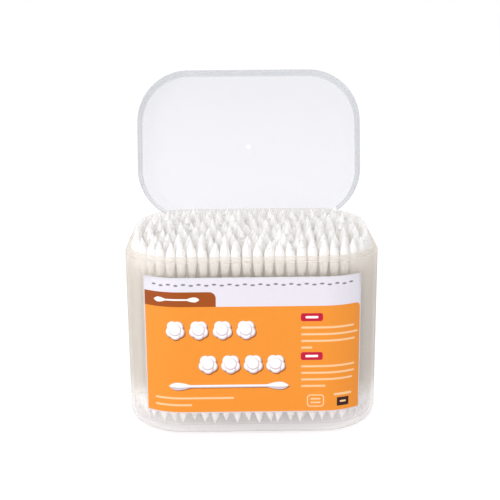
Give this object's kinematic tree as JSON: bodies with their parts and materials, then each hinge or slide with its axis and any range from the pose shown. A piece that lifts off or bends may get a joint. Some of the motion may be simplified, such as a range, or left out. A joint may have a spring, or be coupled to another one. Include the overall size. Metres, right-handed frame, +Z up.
{
  "type": "cotton swab box",
  "caption": "Frosted plastic box with a hinged lid swung open, a label round the front, and cotton swabs standing upright inside.",
  "frame": {"origin": "centre of the tub's base, on the surface it stands on", "axes": "+X to the right, +Y to the back, where the hinge is, +Z up"},
  "size_m": [0.106, 0.1141, 0.1424],
  "materials": {
    "tub_plastic": "frosted, translucent",
    "lid_plastic": "frosted, translucent",
    "label_film": "satin",
    "paper": "matte",
    "cotton": "soft"
  },
  "bodies": {
    "box": {"tub": "tub_plastic", "front_label": "label_film", "wall_row_sticks": "paper", "row_1_sticks": "paper", "row_2_sticks": "paper", "row_3_sticks": "paper", "row_4_sticks": "paper", "row_5_sticks": "paper", "row_6_sticks": "paper", "row_7_sticks": "paper", "row_8_sticks": "paper", "row_9_sticks": "paper", "row_10_sticks": "paper", "row_11_sticks": "paper", "row_12_sticks": "paper", "row_13_sticks": "paper", "wall_row_tips": "cotton", "row_1_tips": "cotton", "row_2_tips": "cotton", "row_3_tips": "cotton", "row_4_tips": "cotton", "row_5_tips": "cotton", "row_6_tips": "cotton", "row_7_tips": "cotton", "row_8_tips": "cotton", "row_9_tips": "cotton", "row_10_tips": "cotton", "row_11_tips": "cotton", "row_12_tips": "cotton", "row_13_tips": "cotton"},
    "flip_lid": {"lid": "lid_plastic"}
  },
  "joints": [
    {"name": "lid_hinge", "type": "hinge", "parent": "box", "child": "flip_lid", "pos_m": [0, 0.0419, 0.0687], "axis": [1, 0, 0], "range_deg": [0, 103.5]}
  ]
}
